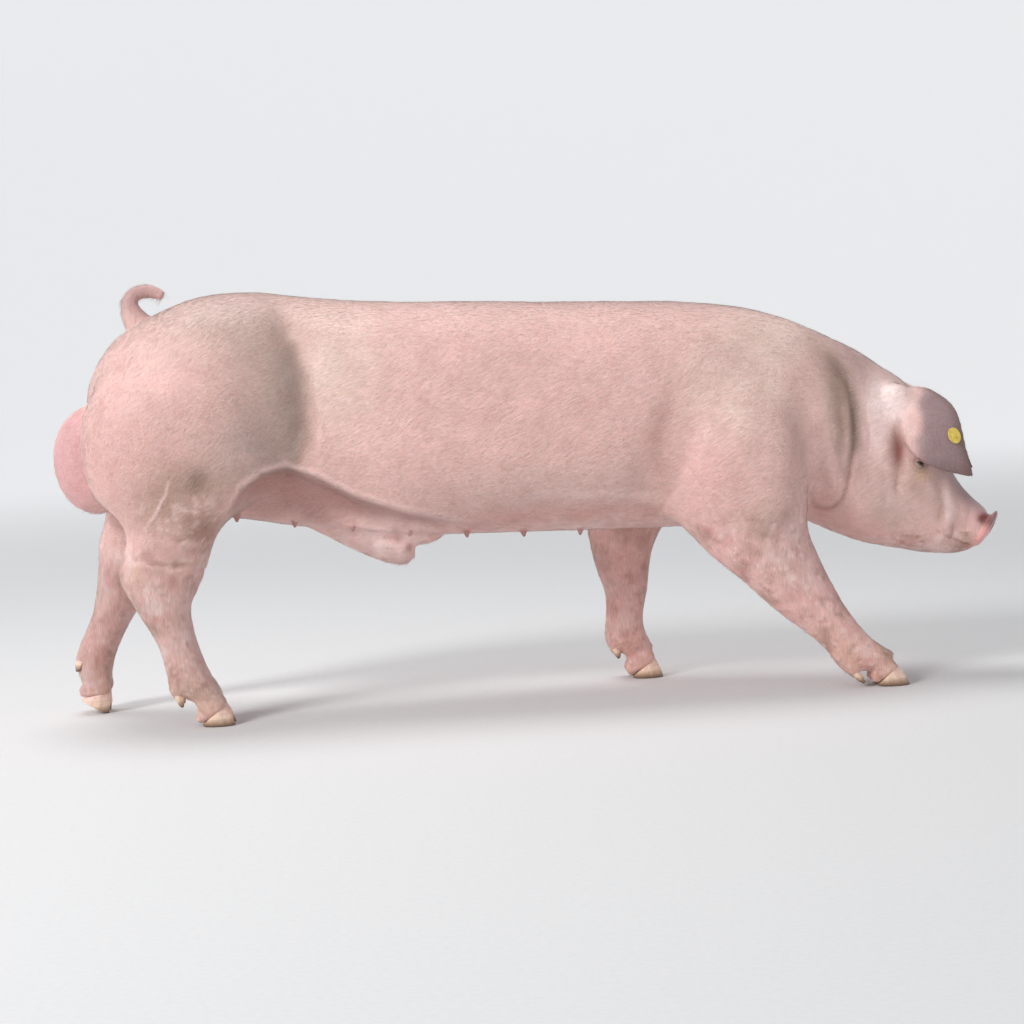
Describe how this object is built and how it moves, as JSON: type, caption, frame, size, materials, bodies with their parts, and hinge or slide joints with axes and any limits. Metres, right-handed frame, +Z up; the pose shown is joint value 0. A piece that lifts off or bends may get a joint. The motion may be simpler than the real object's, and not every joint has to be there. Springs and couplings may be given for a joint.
{
  "type": "pig",
  "caption": "Life-size white lop-eared boar in mid stride, head low and turned aside, as a still museum-like model in parted solids.",
  "frame": {"origin": "on the floor, under the middle of the whole boar's box", "axes": "+X towards the snout, the boar's right side towards -Y, +Z up"},
  "size_m": [2.1256, 0.503, 0.9833],
  "materials": {
    "skin": "pale pink skin under short, flat, white bristles, matt, greyer where the bristles lie thick and redder on the underside",
    "horn": "dull tan horn, darker and dirtier at the sole",
    "eye": "wet dark brown",
    "tag": "yellow moulded plastic, slightly dirty, blank"
  },
  "bodies": {
    "root": {"trunk": "skin", "neck": "skin", "head": "skin", "snout": "skin", "lower_jaw": "skin", "ear_right": "skin", "ear_left": "skin", "tail": "skin", "scrotum": "skin", "sheath": "skin", "upper_leg_hind_right": "skin", "upper_leg_hind_left": "skin", "upper_leg_fore_right": "skin", "upper_leg_fore_left": "skin", "lower_leg_hind_right": "skin", "lower_leg_hind_left": "skin", "lower_leg_fore_right": "skin", "lower_leg_fore_left": "skin", "claw_hind_right_a": "horn", "claw_hind_right_b": "horn", "claw_hind_left_a": "horn", "claw_hind_left_b": "horn", "claw_fore_right_a": "horn", "claw_fore_right_b": "horn", "claw_fore_left_a": "horn", "claw_fore_left_b": "horn", "dewclaw_hind_right_a": "horn", "dewclaw_hind_right_b": "horn", "dewclaw_hind_left_a": "horn", "dewclaw_hind_left_b": "horn", "dewclaw_fore_right_a": "horn", "dewclaw_fore_right_b": "horn", "dewclaw_fore_left_a": "horn", "dewclaw_fore_left_b": "horn", "eye_right": "eye", "eye_left": "eye", "ear_tag_plate": "tag", "ear_tag_button": "tag"}
  },
  "joints": []
}
